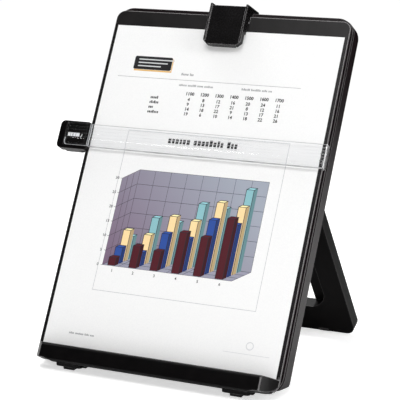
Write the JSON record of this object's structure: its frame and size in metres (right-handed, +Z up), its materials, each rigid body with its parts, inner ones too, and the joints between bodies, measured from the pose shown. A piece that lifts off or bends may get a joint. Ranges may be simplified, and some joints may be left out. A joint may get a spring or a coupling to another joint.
{
  "type": "copy holder with line guide",
  "caption": "Leaning desktop copy holder with a page ledge, a sprung top clip, a clear line guide that slides on both edges and a folding easel leg.",
  "frame": {"origin": "centre of the bounding box's bottom, on the desk", "axes": "+Z up from the desk, +X to the right of someone who reads the page, +Y back from the reader, away from the page face"},
  "size_m": [0.245, 0.2042, 0.2894],
  "materials": {
    "panel_plastic": "satin, fine moulded texture",
    "shell_plastic": "satin, fine moulded texture",
    "clip_plastic": "smooth satin",
    "clear_plastic": "clear, polished",
    "paper": "matt white, printed",
    "rubber": "matt",
    "steel": "zinc plated",
    "spring_steel": "bright wire"
  },
  "bodies": {
    "board": {"front_panel": "panel_plastic", "rear_shell": "shell_plastic", "page_ledge": "panel_plastic", "sample_sheet": "paper", "clip_saddle": "steel", "clip_pin": "steel", "clip_spring": "spring_steel", "leg_hinge_pin_left": "steel", "leg_hinge_pin_right": "steel", "foot_plate_left": "shell_plastic", "foot_plate_right": "shell_plastic", "foot_pads_left": "rubber", "foot_pads_right": "rubber", "case_screws": "steel", "saddle_screws": "steel"},
    "clip": {"clip_lever": "clip_plastic", "clip_grip_pad": "rubber"},
    "guide": {"guide_bar": "clear_plastic", "slider_front": "clip_plastic", "slider_back": "shell_plastic", "slider_leaf_spring": "spring_steel", "slider_screws": "steel"},
    "leg": {"easel_leg": "shell_plastic", "leg_pads": "rubber"}
  },
  "joints": [
    {"name": "clip_open", "type": "hinge", "parent": "board", "child": "clip", "pos_m": [0.0122, 0.0717, 0.27614], "axis": [-1, 0, 0], "range_deg": [0, 28], "stiffness_Nm_per_rad": 0.12, "springref_deg": -34.38, "deforming": ["clip_spring"]},
    {"name": "guide_slide", "type": "slide", "parent": "board", "child": "guide", "axis": [0, 0.4848, 0.8746], "range_m": [-0.165, 0.07]},
    {"name": "leg_fold", "type": "hinge", "parent": "board", "child": "leg", "pos_m": [0.0122, 0.02019, 0.17434], "axis": [-1, 0, 0], "range_deg": [0, 53.85]}
  ]
}
